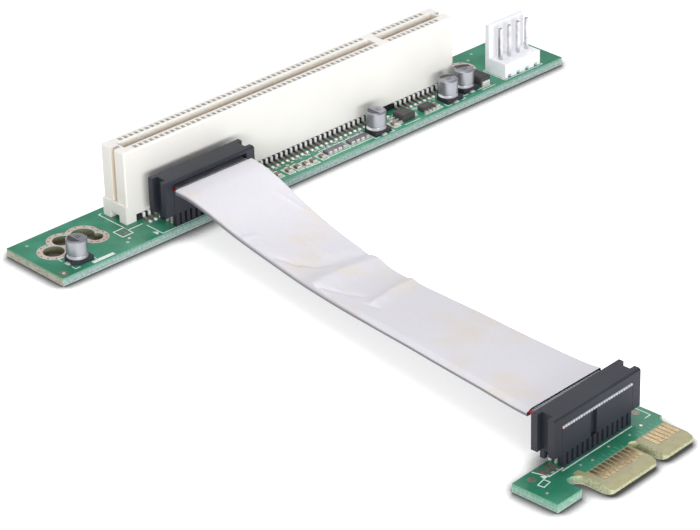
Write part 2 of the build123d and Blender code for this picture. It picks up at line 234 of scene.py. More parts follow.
slot_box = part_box("slot_housing")
board_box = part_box("main_board")
slot_start = board_box[0].x + left_land
slot_end = board_box[1].x - right_land
plug_main = Vector((slot_start + plug_from_slot, plug_y, board_top))
tab_origin = Vector((plug_main.x - tab_from_plug, tab_y, 0))
tab_place = Matrix.Translation(tab_origin) @ Matrix.Rotation(tab_turn, 4, "Z")
plug_small = tab_place @ Vector((tab_u, tab_v, board_top))
main_place = Matrix.Translation(plug_main)
small_place = Matrix.Translation(plug_small) @ Matrix.Rotation(math.pi + tab_turn, 4, "Z")
ribbon_start = main_place @ Vector((0, -plug_deep / 2, 0))
ribbon_end = small_place @ Vector((0, -plug_deep / 2, 0))
ribbon_length = (ribbon_end - ribbon_start).length


def path_value(share, column):
    """Height or roll of the ribbon at a share of its way, on a smooth curve through the list."""
    k = 1
    while k < len(ribbon_path) - 1 and ribbon_path[k][0] < share:
        k += 1
    a, b = ribbon_path[k - 1], ribbon_path[k]
    before = ribbon_path[max(k - 2, 0)]
    after = ribbon_path[min(k + 1, len(ribbon_path) - 1)]
    span = b[0] - a[0]
    t = (share - a[0]) / span
    slope_a = (b[column] - before[column]) / (b[0] - before[0]) * span
    slope_b = (after[column] - a[column]) / (after[0] - a[0]) * span
    return ((2 * t ** 3 - 3 * t ** 2 + 1) * a[column] + (t ** 3 - 2 * t ** 2 + t) * slope_a
            + (3 * t ** 2 - 2 * t ** 3) * b[column] + (t ** 3 - t ** 2) * slope_b)


def ribbon_frame(share):
    """Middle point, direction across and direction up of the ribbon at a share of its way."""
    spot = ribbon_start.lerp(ribbon_end, share)
    roll = math.radians(path_value(share, 2))
    spin = (Matrix.Rotation(tab_turn * share, 4, "Z") @ Matrix.Rotation(roll, 4, "Y")).to_3x3()
    middle = Vector((spot.x, spot.y, path_value(share, 1) * mm))
    return middle, spin @ Vector((1, 0, 0)), spin @ Vector((0, 0, 1))


def finish_material(name):
    """A material with its Principled shader, ready for its nodes."""
    material = bpy.data.materials.new(name)
    tree = empty_tree(material)
    shader = node(tree, "ShaderNodeBsdfPrincipled")
    node(tree, "ShaderNodeOutputMaterial", {"Surface": shader.outputs["BSDF"]})
    return material, tree, shader


def effect(name, takes, gives):
    """A shader node group with its named inputs, at their usual values, and its named outputs."""
    group = bpy.data.node_groups.new(name, "ShaderNodeTree")
    for label, value in takes.items():
        kind = "NodeSocketFloat" if isinstance(value, float) else "NodeSocketColor"
        group.interface.new_socket(name=label, in_out="INPUT", socket_type=kind).default_value = value
    for label in gives:
        kind = "NodeSocketColor" if label == "Color" else "NodeSocketFloat"
        group.interface.new_socket(name=label, in_out="OUTPUT", socket_type=kind)
    return group, node(group, "NodeGroupInput").outputs, node(group, "NodeGroupOutput")


def object_place(tree):
    """The point in the row frame."""
    return node(tree, "ShaderNodeTexCoord").outputs["Object"]


def split(tree, vector):
    """The x, y and z of a point or a direction."""
    return node(tree, "ShaderNodeSeparateXYZ", {0: vector}).outputs


def noise(tree, place, scale, detail, **more):
    """Soft noise between 0 and 1."""
    values = {"Vector": place, "Scale": scale, "Detail": detail, **more}
    return node(tree, "ShaderNodeTexNoise", values).outputs["Fac"]


def ranged(tree, value, start=(0.0, 1.0), to=(0.0, 1.0), **settings):
    """A value carried from one range into another, and kept inside it."""
    values = {"Value": value, "From Min": start[0], "From Max": start[1], "To Min": to[0], "To Max": to[1]}
    return node(tree, "ShaderNodeMapRange", values, **settings).outputs["Result"]


def blend(tree, share, first, second, way="MIX"):
    """Two colours, each a socket or plain, mixed or multiplied by a share."""
    first, second = [c if isinstance(c, bpy.types.NodeSocket) else (*c, 1) for c in (first, second)]
    values = {"Factor": share, "A": first, "B": second}
    return node(tree, "ShaderNodeMix", values, data_type="RGBA", blend_type=way).outputs["Result"]


def ramp(tree, share, *stops):
    """A colour between two stops, each given as its place and its colour."""
    made = node(tree, "ShaderNodeValToRGB", {"Fac": share})
    for element, (place, colour) in zip(made.color_ramp.elements, stops):
        element.position = place
        element.color = (*colour, 1)
    return made.outputs["Color"]


def raised(tree, height, strength, distance, **more):
    """The normal of a fine relief."""
    values = {"Height": height, "Strength": strength, "Distance": distance, **more}
    return node(tree, "ShaderNodeBump", values).outputs["Normal"]


def mottled_skin():
    """Two close tones and a fine relief, for mouldings, wires and plated metal."""
    group, given, out = effect(
        "mottled_skin",
        {"Tone": (1, 1, 1, 1), "Other Tone": (0, 0, 0, 1), "Patch Scale": 200.0, "Grain Scale": 2000.0,
         "Roughness Low": 0.3, "Roughness High": 0.5},
        ("Color", "Roughness", "Height"))
    place = object_place(group)
    patches = ranged(group, noise(group, place, given["Patch Scale"], 4), (0.35, 0.65))
    grain = noise(group, place, given["Grain Scale"], 2)
    feed(group, out, {"Color": blend(group, patches, given["Tone"], given["Other Tone"]),
                      "Roughness": ranged(group, grain, to=(given["Roughness Low"], given["Roughness High"])),
                      "Height": grain})
    return group


skin = mottled_skin()


def skinned(name, tone, other, patch=200.0, grain=2000.0, rough=(0.3, 0.5), relief=0.00002, metal=0.0,
            strength=0.3):
    """A material whose colour, gloss and relief come from the mottled skin."""
    material, tree, shader = finish_material(name)
    values = {"Tone": (*tone, 1), "Other Tone": (*other, 1), "Patch Scale": patch, "Grain Scale": grain,
              "Roughness Low": rough[0], "Roughness High": rough[1]}
    cover = node(tree, "ShaderNodeGroup", values, node_tree=skin).outputs
    feed(tree, shader, {"Base Color": cover["Color"], "Roughness": cover["Roughness"], "Metallic": metal,
                        "Normal": raised(tree, cover["Height"], strength, relief)})
    return material


grey_wire = skinned("grey_wire_skin", (0.34, 0.35, 0.39), (0.26, 0.27, 0.30), rough=(0.35, 0.5))
red_wire = skinned("red_wire_skin", (0.48, 0.03, 0.03), (0.36, 0.02, 0.03), rough=(0.35, 0.5))


def wire_strip(name, first, last, material, stands_for):
    """Wires first to last of the ribbon, side by side, from one connector to the other."""
    lobe = 6
    steps = 90
    flatness = 0.8

    def ring(middle, across, up):
        """The strip's outline at one place of its way."""
        top, under = [], []
        for w in range(first, last + 1):
            x = (w - (wire_count - 1) / 2) * wire_pitch
            for k in range(lobe + 1):
                a = math.pi * (k + 0.5) / (lobe + 1)
                dx = -math.cos(a) * wire_pitch / 2
                dz = math.sin(a) ** flatness * wire_r
                top.append(middle + across * (x + dx) + up * dz)
                under.append(middle + across * (x + dx) - up * dz)
        return top + under[::-1]

    mid_plug = Vector((0, plug_deep / 2, wire_mid))
    ways = [(main_place @ mid_plug, Vector((1, 0, 0)), Vector((0, 0, 1)))]
    ways += [ribbon_frame(k / steps) for k in range(steps + 1)]
    sideways = Matrix.Rotation(tab_turn, 3, "Z") @ Vector((1, 0, 0))
    ways.append((small_place @ mid_plug, sideways, Vector((0, 0, 1))))
    rings = [ring(*way) for way in ways]
    verts = [spot for r in rings for spot in r]
    size = len(rings[0])
    faces = []
    for r in range(len(rings) - 1):
        for k in range(size):
            a, b = r * size + k, r * size + (k + 1) % size
            faces.append((a, a + size, b + size, b))
    faces.append(tuple(range(size)))
    faces.append(tuple(reversed(range((len(rings) - 1) * size, len(rings) * size))))
    piece = mesh_piece(name, verts, faces, material, smooth=True)
    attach(piece, "root")
    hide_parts(stands_for)


wire_strip("ribbon_strands", 1, wire_count - 1, grey_wire, "ribbon")
wire_strip("red_strand", 0, 0, red_wire, "edge_wire")


def foil_finish():
    """Satin foil: pale lilac with faint warm clouds and long fine draw lines, and painted shade, dark grey,
    on its faces that turn downwards.
    """
    material, tree, shader = finish_material("shielding_foil")
    place = object_place(tree)
    stretched = node(tree, "ShaderNodeMapping", {"Vector": place, "Scale": (1400, 120, 300)})
    lines = noise(tree, stretched.outputs["Vector"], 1, 4)
    clouds = noise(tree, place, 105, 5)
    grain = noise(tree, place, 1500, 2)
    crumple = noise(tree, place, 420, 3, Distortion=0.6)
    tones = ramp(tree, clouds, (0.49, foil_colour), (0.66, foil_warm))
    foil = blend(tree, grain, tones, foil_fleck, "MULTIPLY")
    facing_up = split(tree, node(tree, "ShaderNodeNewGeometry").outputs["Normal"])["Z"]
    creased = raised(tree, crumple, 0.35, 0.00012)
    grained = raised(tree, grain, 0.30, 0.00003, Normal=creased)
    # Painted shade: faces turned downwards, the underside and the lower part of the sides, take the dark
    # grey.
    feed(tree, shader, {"Base Color": blend(tree, ranged(tree, facing_up, (0.0, 0.45)), underside_painted_shade, foil),
                        "Roughness": ranged(tree, lines, to=(0.54, 0.68)), "Metallic": 0.30,
                        "Normal": raised(tree, lines, 0.12, 0.00003, Normal=grained)})
    return material


# Folds that run across the foil: their crest as (side, share of the way), how
# high, and how far they fall off towards the long board and towards the short
# one. A negative height is a valley. All in mm but the crests.
foil_folds = (
    (((-1.0, 0.413), (-0.45, 0.402), (0.0, 0.393), (0.3, 0.392), (1.0, 0.388)), 0.62, 2.2, 2.5),
    (((-0.95, 0.300), (-0.65, 0.340), (-0.3, 0.360), (0.15, 0.370), (0.6, 0.366), (1.0, 0.364)),
     -0.24, 2.2, 0.5),
    (((-0.5, 0.522), (-0.1, 0.513), (0.3, 0.500), (0.65, 0.494), (1.0, 0.487)), 0.40, 0.9, 1.5),
    (((-0.97, 0.430), (-0.75, 0.450), (-0.6, 0.475), (-0.35, 0.495)), -0.20, 1.5, 0.4),
    (((-1.0, 0.212), (-0.62, 0.216)), 0.10, 0.5, 0.7),
    (((0.1, 0.330), (0.6, 0.336), (1.0, 0.345)), 0.14, 3.0, 1.6),
)
# Short creases: from (side, share) to (side, share), how deep and how wide, in mm.
foil_creases = (
    ((-0.58, 0.520), (-0.50, 0.545), 0.12, 0.35),
    ((0.70, 0.130), (0.85, 0.190), -0.08, 0.6),
    ((0.25, 0.930), (-0.35, 0.915), 0.05, 2.2),
)
fold_fade = 0.1
foil_edge = 0.93
turn_in_from = 0.90
turn_in_start = 0.50


def clamp(value, low=0.0, high=1.0):
    """A value kept between two limits."""
    return max(low, min(high, value))


def foil_lift(share, side):
    """How far the foil's upper side stands off its smooth surface at a place."""
    lift = 0.0
    for crest, high, behind, ahead in foil_folds:
        first, last = crest[0][0], crest[-1][0]
        edge = min(side - first, last - side)
        if edge < -fold_fade:
            continue
        k = 1
        while k < len(crest) - 1 and crest[k][0] < side:
            k += 1
        (u0, s0), (u1, s1) = crest[k - 1], crest[k]
        t = clamp((side - u0) / (u1 - u0))
        off = (share - s0 - (s1 - s0) * t * t * (3 - 2 * t)) * ribbon_length
        reaches_edge = abs(side) > foil_edge and abs(first if side < 0 else last) > foil_edge
        fade = 1.0 if reaches_edge else clamp((edge + fold_fade) / (2 * fold_fade))
        lift += high * mm * fade * math.exp(-abs(off / ((behind if off < 0 else ahead) * mm)) ** 1.7)
    px, py = side * foil_half_w, share * ribbon_length
    for (u0, s0), (u1, s1), deep, wide in foil_creases:
        ax, ay, bx, by = u0 * foil_half_w, s0 * ribbon_length, u1 * foil_half_w, s1 * ribbon_length
        t = clamp(((px - ax) * (bx - ax) + (py - ay) * (by - ay)) / ((bx - ax) ** 2 + (by - ay) ** 2))
        away = math.hypot(px - ax - t * (bx - ax), py - ay - t * (by - ay))
        lift -= deep * mm * math.exp(-(away / (wide * mm)) ** 1.6)
    return lift


def tube_faces(rings, size, first=0):
    """The sides of a tube whose rings of points follow each other."""
    faces = []
    for r in range(rings - 1):
        for k in range(size):
            a, b = first + r * size + k, first + r * size + (k + 1) % size
            faces.append((a, b, b + size, a + size))
    return faces


def foil_wrap():
    """The foil as a flat sleeve with rounded sides, a lap underneath and open ends."""
    rng = random.Random(7)
    steps, cells, side_steps = 420, 72, 6
    bulge = 0.35
    waves = [(rng.uniform(40, 200), rng.uniform(-260, 260), rng.uniform(0, 6.28), rng.uniform(0.004, 0.014))
             for _ in range(12)]

    def rough(x, y):
        """The foil's slight unevenness."""
        return sum(h * math.sin(kx * x + ky * y + p) for kx, ky, p, h in waves) * mm

    half = foil_half_w
    outline = [(-half + 2 * half * k / cells, 1) for k in range(cells + 1)]
    turns = [math.pi * k / side_steps for k in range(1, side_steps)]
    outline += [(half + math.sin(a) * foil_half_t * bulge, math.cos(a)) for a in turns]
    outline += [(half - 2 * half * k / cells, -1) for k in range(cells + 1)]
    outline += [(-half - math.sin(a) * foil_half_t * bulge, -math.cos(a)) for a in turns]
    verts = []
    for r in range(steps + 1):
        share = foil_from + (foil_to - foil_from) * r / steps
        middle, across, up = ribbon_frame(share)
        turn_in = foil_turn_in * clamp((share - turn_in_start) / 0.10)
        for x, level in outline:
            side = clamp(x / half, -1, 1)
            off = foil_half_t * level
            if level > 0.99:
                off += foil_lift(share, side) + rough(x, share * 0.1)
                off -= turn_in * max(0.0, (-turn_in_from - side) / (1 - turn_in_from))
            elif level > 0 and x < -half:
                off *= 1 - turn_in / foil_half_t
            elif level < -0.99:
                off -= rough(x + 0.02, share * 0.1) * 0.7
                if 0.1 < side < 0.9:
                    off -= 0.08 * mm
            verts.append(middle + across * x + up * off)
    piece = mesh_piece("foil_sleeve", verts, tube_faces(steps + 1, len(outline)), foil_finish(), smooth=True)
    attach(piece, "root")
    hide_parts("foil_wrap")


foil_wrap()


# The ends of the wires, cut square where the ribbon leaves the far side of each
# connector: tinned copper in white insulation, a touch proud of the plastic.
cut_end = ((0.27 * mm, -0.05 * mm), (0.27 * mm, 0.05 * mm), (0.20 * mm, 0.12 * mm))


def add_turned(heap, place, profile, count=10):
    """A closed turned body from its profile of (radius, height), standing at a place."""
    verts, faces = heap
    first = len(verts)
    for radius, height in profile:
        for k in range(count):
            a = 2 * math.pi * k / count
            verts.append(place @ Vector((radius * math.cos(a), radius * math.sin(a), height)))
    faces += tube_faces(len(profile), count, first)
    faces.append(tuple(reversed(range(first, first + count))))
    last = first + (len(profile) - 1) * count
    faces.append(tuple(range(last, last + count)))


def piece_from(name, heap, material, smooth=False):
    """A piece of the part from a heap of points and faces."""
    piece = mesh_piece(name, heap[0], heap[1], material, smooth)
    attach(piece, "root")


cut_ends = ([], [])
lying = Matrix.Rotation(-math.pi / 2, 4, "X")
for plug_place in (main_place, small_place):
    for w in range(wire_count):
        spot = Vector(((w - (wire_count - 1) / 2) * wire_pitch, plug_deep / 2, wire_mid))
        add_turned(cut_ends, plug_place @ Matrix.Translation(spot) @ lying, cut_end)
pale_end = skinned("cut_wire_end", (0.50, 0.51, 0.55), (0.38, 0.39, 0.42), patch=1500, grain=4000,
                   rough=(0.3, 0.5))
piece_from("wire_ends", cut_ends, pale_end)


# The long board. Glass-epoxy laminate, 1.6 mm, green solder mask over copper
# on both sides, milled edges that show the glass layers, brown drilled walls.
mask_dark = (0.022, 0.185, 0.105)
mask_light = (0.045, 0.265, 0.165)
edge_teal = (0.42, 0.53, 0.52)
edge_cream_painted_light = (0.62, 0.56, 0.46)
edge_green = (0.075, 0.30, 0.17)
edge_speckle = (0.50, 0.66, 0.60)
edge_painted_highlight = (0.80, 0.80, 0.74)
bare_brown = (0.30, 0.22, 0.13)


def layered_edge():
    """The cut side of glass-epoxy laminate: green where the mask wraps the upper edge, then thin
    speckled layers, and a painted highlight, a pale band, along the lower edge."""
    group, given, out = effect("layered_edge", {"Tone": (1, 1, 1, 1), "Dark Share": 0.8, "Green Share": 1.0},
                               ("Color", "Height"))
    place = object_place(group)
    height = split(group, place)["Z"]
    squeezed = node(group, "ShaderNodeMapping", {"Vector": place, "Scale": (2300, 2300, 2600)})
    speckle = noise(group, squeezed.outputs["Vector"], 1, 2)
    dark = calc(group, "MULTIPLY", ranged(group, speckle, (0.40, 0.60)), given["Dark Share"])
    layers = blend(group, dark, given["Tone"], edge_speckle, "MULTIPLY")
    upper = ranged(group, height, (board_top * 0.5, board_top), (0.0, 0.70), interpolation_type="SMOOTHSTEP")
    wrapped = blend(group, calc(group, "MULTIPLY", upper, given["Green Share"]), layers, edge_green)
    # Painted highlight: the lowest fifth of a millimetre of the side turns pale.
    lower = ranged(group, height, (0.22 * mm, 0.12 * mm), (0.0, 0.35))
    feed(group, out, {"Color": blend(group, lower, wrapped, edge_painted_highlight), "Height": speckle})
    return group


def masked_face():
    """Solder mask over copper: two close greens in soft clouds."""
    group, given, out = effect("masked_face", {"Cloud Scale": 120.0}, ("Color",))
    clouds = noise(group, object_place(group), given["Cloud Scale"], 3)
    feed(group, out, {"Color": ramp(group, clouds, (0.38, mask_dark), (0.62, mask_light))})
    return group


edge_layers = layered_edge()
mask_skin = masked_face()


def board_finish(name):
    """Green faces, and cut sides whose tone is left to the caller."""
    material, tree, shader = finish_material(name)
    facing = split(tree, node(tree, "ShaderNodeNewGeometry").outputs["Normal"])
    is_edge = calc(tree, "LESS_THAN", calc(tree, "ABSOLUTE", facing["Z"]), 0.5)
    face = node(tree, "ShaderNodeGroup", node_tree=mask_skin)
    edge = node(tree, "ShaderNodeGroup", node_tree=edge_layers)
    feed(tree, shader, {"Base Color": blend(tree, is_edge, face.outputs["Color"], edge.outputs["Color"]),
                        "Roughness": ranged(tree, is_edge, to=(0.28, 0.72)),
                        "Normal": raised(tree, edge.outputs["Height"], 0.15, 0.00003)})
    return material, tree, shader, facing, edge


def within(tree, value, low, high):
    """1 where a value lies between two limits."""
    above = calc(tree, "GREATER_THAN", value, low)
    return calc(tree, "MULTIPLY", above, calc(tree, "LESS_THAN", value, high))


def within_box(tree, place, box, inset):
    """1 where a place lies inside a box seen from above, a little in from its sides."""
    return calc(tree, "MULTIPLY", within(tree, place["X"], box[0] + inset, box[1] - inset),
                within(tree, place["Y"], box[2] + inset, box[3] - inset))


def dress(material, *names):
    """The finish of whole CAD nodes."""
    for name in names:
        slots = frame["nodes"][name].data.materials
        if len(slots) == 0:
            slots.append(material)
        for k in range(len(slots)):
            slots[k] = material


def long_board_finish():
    """Sides teal along the board, creamy at its ends as painted light for the lit end, and brown in the
    drilled holes.
    """
    material, tree, _, facing, edge = board_finish("long_board_laminate")
    low, high = board_box
    drilled = within_box(tree, split(tree, object_place(tree)), (low.x, high.x, low.y, high.y), 0.3 * mm)
    # Painted light: faces that point along the board take the cream, faces that point across it take the
    # teal.
    sides = blend(tree, calc(tree, "ABSOLUTE", facing["X"]), edge_teal, edge_cream_painted_light)
    feed(tree, edge, {"Tone": blend(tree, drilled, sides, bare_brown)})
    return material


dress(long_board_finish(), "main_board")


# Copper, tin and print on the long board. Thin tinned rings round the mounting
# holes, tinned pads under every terminal, tracks under the mask and white print.
in_mm = Matrix.Scale(mm, 4)
face_z = board_top / mm
sunk = 0.01
copper_t = 0.035
track_t = 0.02
ink_t = 0.05
under_t = 0.012
slot_a, slot_b = slot_start / mm, slot_end / mm
plug_x = plug_main.x / mm
hole_ring = 1.15
dots_round = 11
left_holes = ((slot_a - 16.1, 1.0, 2.0), (slot_a - 12.4, 3.2, 1.85), (slot_a - 8.2, 2.5, 2.2),
              (slot_a - 7.1, 0.0, 1.4))
right_hole = (slot_b + 5.55, 2.7, 2.0)


def add_prism(heap, outline, low, high, holes=(), place=in_mm):
    """A thin closed slab from its counterclockwise outline and clockwise holes."""
    verts, faces = heap
    loops = [[Vector((x, y, 0)) for x, y in loop] for loop in (outline, *holes)]
    spots = [spot for loop in loops for spot in loop]
    first, count = len(verts), len(spots)
    verts += [place @ Vector((q.x, q.y, z)) for z in (high, low) for q in spots]
    for a, b, c in tessellate_polygon(loops):
        if (spots[b] - spots[a]).cross(spots[c] - spots[a]).z < 0:
            b, c = c, b
        faces.append((first + a, first + b, first + c))
        faces.append((first + count + a, first + count + c, first + count + b))
    start = first
    for loop in loops:
        for k in range(len(loop)):
            i, j = start + k, start + (k + 1) % len(loop)
            faces.append((i + count, j + count, j, i))
        start += len(loop)


def lay(heap, outline, thick, holes=(), place=in_mm):
    """A thin slab on a board's upper face, sunk into it by a hair."""
    add_prism(heap, outline, face_z - sunk, face_z + thick, holes, place)


def square(x0, x1, y0, y1):
    """Outline of a rectangle."""
    return [(x0, y0), (x1, y0), (x1, y1), (x0, y1)]


def circle(x, y, r, count=24):
    """Outline of a circle."""
    return [(x + r * math.cos(2 * math.pi * k / count), y + r * math.sin(2 * math.pi * k / count))
            for k in range(count)]


def line(points, width):
    """Outline of a line of even width through points, with mitred corners."""
    left, right = [], []
    for k, (x, y) in enumerate(points):
        ways = []
        for a, b in ((k - 1, k), (k, k + 1)):
            if a >= 0 and b < len(points):
                way = Vector((points[b][0] - points[a][0], points[b][1] - points[a][1]))
                ways.append(way.normalized())
        normals = [Vector((-w.y, w.x)) for w in ways]
        mean = sum(normals, Vector((0, 0))).normalized()
        reach = width / 2 / mean.dot(normals[0])
        left.append((x + mean.x * reach, y + mean.y * reach))
        right.append((x - mean.x * reach, y - mean.y * reach))
    return right + left[::-1]


def joined_circles(circles):
    """Outline round circles that overlap in a row, walked once round them."""
    step = math.radians(4)
    centre = min(circles, key=lambda c: c[0] - c[2])
    angle, points, walked = math.pi, [], 0.0
    start = (centre[0] - centre[2], centre[1])
    while walked < 60:
        angle += step
        walked += step
        x, y = centre[0] + centre[2] * math.cos(angle), centre[1] + centre[2] * math.sin(angle)
        others = [c for c in circles if c is not centre and math.hypot(x - c[0], y - c[1]) < c[2] - 0.01]
        if others:
            centre = others[0]
            angle = math.atan2(y - centre[1], x - centre[0])
            x, y = centre[0] + centre[2] * math.cos(angle), centre[1] + centre[2] * math.sin(angle)
        if len(points) > 8 and math.hypot(x - start[0], y - start[1]) < centre[2] * step * 0.9:
            break
        points.append((x, y))
    return points


def lumps(name):
    """Boxes, in millimetres, of the separate solids in a CAD node."""
    mesh = frame["nodes"][name].data
    spots = [tuple(round(c / mm, 3) for c in v.co) for v in mesh.vertices]
    leader = {spot: spot for spot in spots}

    def find(spot):
        """The point that stands for the whole solid."""
        while leader[spot] != spot:
            leader[spot] = leader[leader[spot]]
            spot = leader[spot]
        return spot

    for polygon in mesh.polygons:
        a = find(spots[polygon.vertices[0]])
        for v in polygon.vertices[1:]:
            leader[find(spots[v])] = a
    groups = {}
    for spot in leader:
        groups.setdefault(find(spot), []).append(spot)
    return [(min(q[0] for q in g), max(q[0] for q in g), min(q[1] for q in g), max(q[1] for q in g),
             min(q[2] for q in g), max(q[2] for q in g)) for g in groups.values()]


board_left = board_box[0].x / mm
board_front, board_back = board_box[0].y / mm, board_box[1].y / mm
all_holes = (*left_holes, right_hole)

rings = ([], [])
ring_dots = ([], [])
wide = [(x, y, r + hole_ring) for x, y, r in left_holes]
inner = [circle(*hole, 40)[::-1] for hole in left_holes[:2]]
inner.append(joined_circles(left_holes[2:])[::-1])
lay(rings, joined_circles(wide), copper_t, inner)
ring_x, ring_y, ring_r = right_hole
lay(rings, circle(ring_x, ring_y, ring_r + hole_ring, 48), copper_t, [circle(*right_hole, 40)[::-1]])
for x, y, r in all_holes:
    for k in range(dots_round):
        a = 2 * math.pi * (k + 0.4) / dots_round
        reach = r + hole_ring * 0.62
        dx, dy = x + reach * math.cos(a), y + reach * math.sin(a)
        if all(math.hypot(dx - hx, dy - hy) > hr + hole_ring * 0.55 for hx, hy, hr in all_holes
               if (hx, hy) != (x, y)):
            add_prism(ring_dots, circle(dx, dy, 0.17, 8), face_z, face_z + copper_t + 0.01)
ring_tin = skinned("ring_tin", (0.62, 0.52, 0.47), (0.52, 0.43, 0.38), patch=700, grain=3000,
                   rough=(0.4, 0.6), metal=0.35)
piece_from("hole_rings", rings, ring_tin)
dot_brown = skinned("via_brown", (0.10, 0.07, 0.06), (0.06, 0.05, 0.04), grain=3000, rough=(0.5, 0.7))
piece_from("ring_vias", ring_dots, dot_brown)

tin = skinned("tin_plate", (0.88, 0.87, 0.85), (0.74, 0.72, 0.69), patch=900, grain=4000, rough=(0.2, 0.38),
              relief=0.00002, metal=0.6)
pads = ([], [])
pad_margin = 0.16
for name in ("chip_terminals", "array_terminals", "driver_leads", "regulator_leads", "diode_terminals",
             "cap_leads"):
    for x0, x1, y0, y1, *_ in lumps(name):
        near = max(y0 - pad_margin, board_front + 0.1)
        lay(pads, square(x0 - pad_margin, x1 + pad_margin, near, y1 + pad_margin), copper_t)
piece_from("part_pads", pads, tin)

# Long pads of the slot's contacts, each with a bright solder fillet at its end.
foot_pads = ([], [])
solder = ([], [])
foot_pad_w = 0.78
foot_pad_back = 1.9
foot_pad_past = 0.12
bead_past = 0.02
bead_stretch = Matrix.Scale(1.15, 4, (0, 1, 0))
blob = [(0.0, -0.02), (0.40, -0.02), (0.42, 0.08), (0.34, 0.22), (0.20, 0.31), (0.0, 0.34)]
for name, way in (("slot_contacts_front", -1), ("slot_contacts_back", 1)):
    for x0, x1, y0, y1, *_ in lumps(name):
        x = (x0 + x1) / 2
        end = y0 if way < 0 else y1
        near, far = sorted((end - way * foot_pad_back, end + way * foot_pad_past))
        lay(foot_pads, square(x - foot_pad_w / 2, x + foot_pad_w / 2, near, far), copper_t)
        spot = Matrix.Translation((x, end + way * bead_past, face_z))
        add_turned(solder, in_mm @ spot @ bead_stretch, blob)
foot_tin = skinned("foot_tin", (0.30, 0.25, 0.215), (0.20, 0.165, 0.14), patch=1100, grain=4000,
                   rough=(0.3, 0.5), metal=0.55)
piece_from("contact_pads", foot_pads, foot_tin)
piece_from("solder_beads", solder, tin, smooth=True)

busy = [box_of for name in ("cap_bases", "chip_bodies", "chip_terminals", "array_bodies", "array_terminals",
                            "driver_body", "driver_leads", "regulator_body", "regulator_leads", "diode_body",
                            "header_housing", "plug_covers") for box_of in lumps(name)]


def is_free(x, y, room):
    """Whether a place on the long board is clear of the parts."""
    return not any(x0 - room < x < x1 + room and y0 - room < y < y1 + room for x0, x1, y0, y1, *_ in busy)


tracks = ([], [])
track_w = 0.2
vias = ([], [])
via_holes = ([], [])


def add_via(x, y, r=0.3):
    """A tinned ring with a dark hole."""
    hole = circle(x, y, r * 0.45, 8)
    lay(vias, circle(x, y, r, 12), copper_t, [hole[::-1]])
    lay(via_holes, hole, copper_t * 0.6)


rng = random.Random(11)
for x0, x1, y0, y1, *_ in lumps("slot_contacts_front"):
    x = (x0 + x1) / 2
    reach = rng.choice((0.55, 0.9, 1.3))
    lean = rng.choice((-0.35, 0.0, 0.35))
    if is_free(x + lean, y0 - reach, 0.5):
        way = [(x, y0), (x + lean, y0 - reach)]
        if lean:
            way.insert(1, (x, y0 - reach + abs(lean)))
        lay(tracks, line(way, track_w), track_t)
        add_via(x + lean, y0 - reach)
for y, x0, x1 in ((0.45, plug_x + 13, slot_b + 1), (0.8, slot_b - 24, slot_b + 6),
                  (1.15, slot_a + 31, slot_b - 27)):
    lay(tracks, line([(x0, board_front + y), (x1, board_front + y)], track_w), track_t)
for x, y in ((slot_a - 4.4, -5.9), (slot_a - 3.2, -4.9), (slot_b + 8.3, -6.6), (slot_b + 9.6, 4.6),
             (slot_b + 12.2, 6.3), (slot_b + 16.4, 5.2), (slot_a - 18.2, 6.2)):
    add_via(x, y)
mask_ridge = skinned("mask_over_track", (0.085, 0.33, 0.225), (0.065, 0.28, 0.19), patch=200, grain=2500,
                     rough=(0.25, 0.35))
piece_from("tracks", tracks, mask_ridge)
piece_from("via_rings", vias, tin)
piece_from("via_floors", via_holes, dot_brown)

# The underside: soldered pads of the posts and pins, and a bus of tracks, all just below z = 0.
in_board = 0.005
under_pads = ([], [])
under_tracks = ([], [])
for name, pad_r in (("plug_posts", 0.47), ("header_pins", 0.9)):
    for x0, x1, y0, y1, *_ in lumps(name):
        x, y = (x0 + x1) / 2, (y0 + y1) / 2
        if board_front < y < board_back:
            add_prism(under_pads, circle(x, y, pad_r, 16), -under_t, in_board)
for x0, x1, y0, y1, *_ in lumps("slot_contacts_back")[::2]:
    x = (x0 + x1) / 2
    add_prism(under_pads, circle(x, 5.6, 0.3, 10), -under_t, in_board)
    way = [(x, 5.6), (x, 4.4), (x + 0.8, 3.6), (x + 0.8, 1.9)]
    add_prism(under_tracks, line(way, 0.22), -under_t * 0.6, in_board)
post_xs = sorted({round((b[0] + b[1]) / 2, 2) for b in lumps("plug_posts") if b[2] > board_front})
for k, x in enumerate(post_xs):
    level = 0.6 - 0.36 * k
    goal = slot_a + 24 + 2.54 * k
    way = [(x, -4.6), (x, level - 0.3), (x + 0.3, level), (goal - 0.3, level), (goal, level + 0.3),
           (goal, 1.4)]
    add_prism(under_tracks, line(way, track_w), -under_t * 0.6, in_board)
    add_prism(under_pads, circle(goal, 1.4, 0.3, 10), -under_t, in_board)
piece_from("under_pads", under_pads, tin)
piece_from("under_tracks", under_tracks, mask_ridge)

# White print: outlines of the parts, a pin mark and a bar.
ink = ([], [])
pen = 0.19


def print_line(points, width=pen):
    """A white line on the long board."""
    lay(ink, line(points, width), ink_t)


def print_frame(x0, x1, y0, y1):
    """A white rectangle, open inside."""
    h = pen / 2
    lay(ink, square(x0 - h, x1 + h, y0 - h, y1 + h), ink_t, [square(x0 + h, x1 - h, y0 + h, y1 - h)[::-1]])


